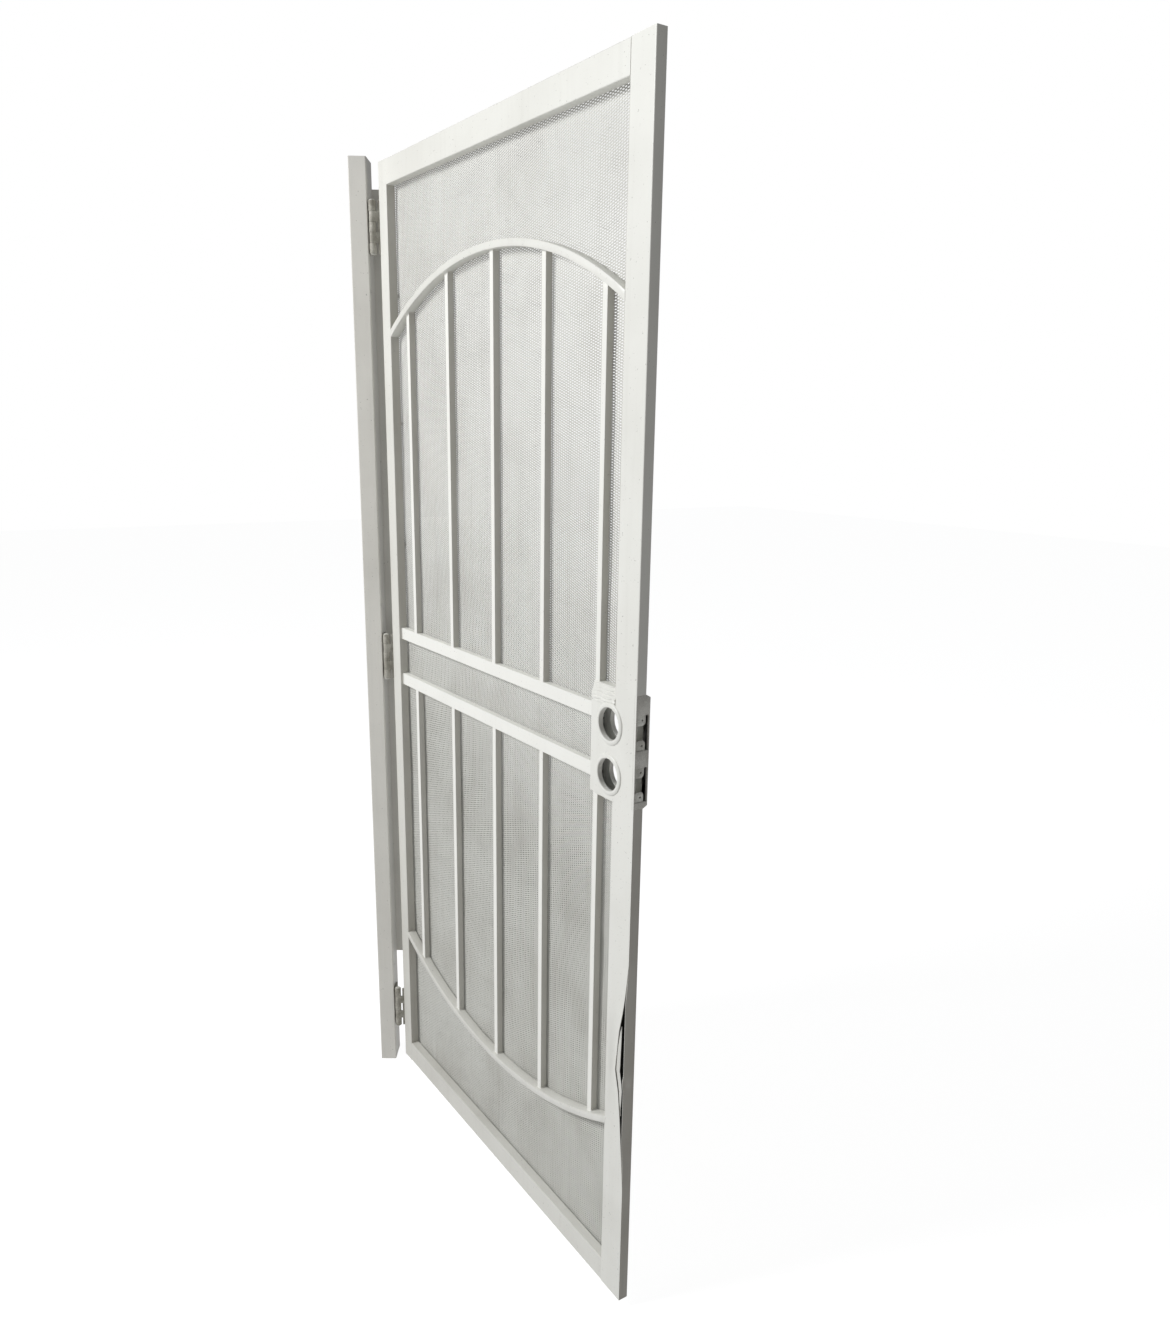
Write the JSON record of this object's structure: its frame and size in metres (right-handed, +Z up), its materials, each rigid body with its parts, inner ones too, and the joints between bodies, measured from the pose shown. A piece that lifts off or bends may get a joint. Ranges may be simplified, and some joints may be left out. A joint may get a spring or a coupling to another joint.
{
  "type": "security screen door",
  "caption": "Outward-opening steel security screen door: a welded tube leaf with arched bars, mesh screen and lock box, hinged to its jamb.",
  "frame": {"origin": "foot of the jamb, in the middle of the back face that goes against the building", "axes": "+Z up the jamb and leaf; the leaf stands open, parallel to XZ, with its outside facing -Y and its lock edge towards +X; the jamb is turned 56.5 degrees about +Z"},
  "size_m": [0.9975, 0.0796, 2.06],
  "materials": {
    "frame_paint": "warm white gloss powder coat, scuffed",
    "jamb_paint": "warm white powder coat, dirtier than the leaf",
    "screen_paint": "white paint on expanded metal, thin and dusty",
    "hinge_steel": "worn paint over steel, with dirt in the joints",
    "lock_steel": "zinc-plated sheet inside, dusty paint on the edge"
  },
  "bodies": {
    "jamb": {"hinge_bottom_jamb_leaf": "hinge_steel", "hinge_bottom_pin": "hinge_steel", "hinge_middle_jamb_leaf": "hinge_steel", "hinge_middle_pin": "hinge_steel", "hinge_top_jamb_leaf": "hinge_steel", "hinge_top_pin": "hinge_steel", "jamb_end_caps": "jamb_paint", "jamb_flange": "jamb_paint", "jamb_post": "jamb_paint"},
    "door": {"bottom_rail": "frame_paint", "deadbolt_collar_back": "frame_paint", "deadbolt_collar_front": "frame_paint", "hinge_bottom_door_leaf": "hinge_steel", "hinge_middle_door_leaf": "hinge_steel", "hinge_stile": "frame_paint", "hinge_top_door_leaf": "hinge_steel", "latch_collar_back": "frame_paint", "latch_collar_front": "frame_paint", "lock_box_back_plate": "frame_paint", "lock_box_front_plate": "frame_paint", "lock_box_shoulder": "frame_paint", "lock_box_wall": "lock_steel", "lock_edge_plate": "lock_steel", "lock_stile_face": "frame_paint", "lock_stile_lower": "frame_paint", "lock_stile_upper": "frame_paint", "lower_arch": "frame_paint", "lower_bar_1": "frame_paint", "lower_bar_2": "frame_paint", "lower_bar_3": "frame_paint", "lower_bar_4": "frame_paint", "lower_bar_5": "frame_paint", "lower_lock_rail": "frame_paint", "screen": "screen_paint", "screen_tack_welds": "screen_paint", "stile_end_caps": "frame_paint", "top_rail": "frame_paint", "upper_arch": "frame_paint", "upper_bar_1": "frame_paint", "upper_bar_2": "frame_paint", "upper_bar_3": "frame_paint", "upper_bar_4": "frame_paint", "upper_bar_5": "frame_paint", "upper_lock_rail": "frame_paint"}
  },
  "joints": [
    {"name": "door_swing", "type": "hinge", "parent": "jamb", "child": "door", "pos_m": [0.06479, -0.00901, 1], "axis": [0, 0, 1], "range_deg": [-113.5, 56.5]}
  ]
}
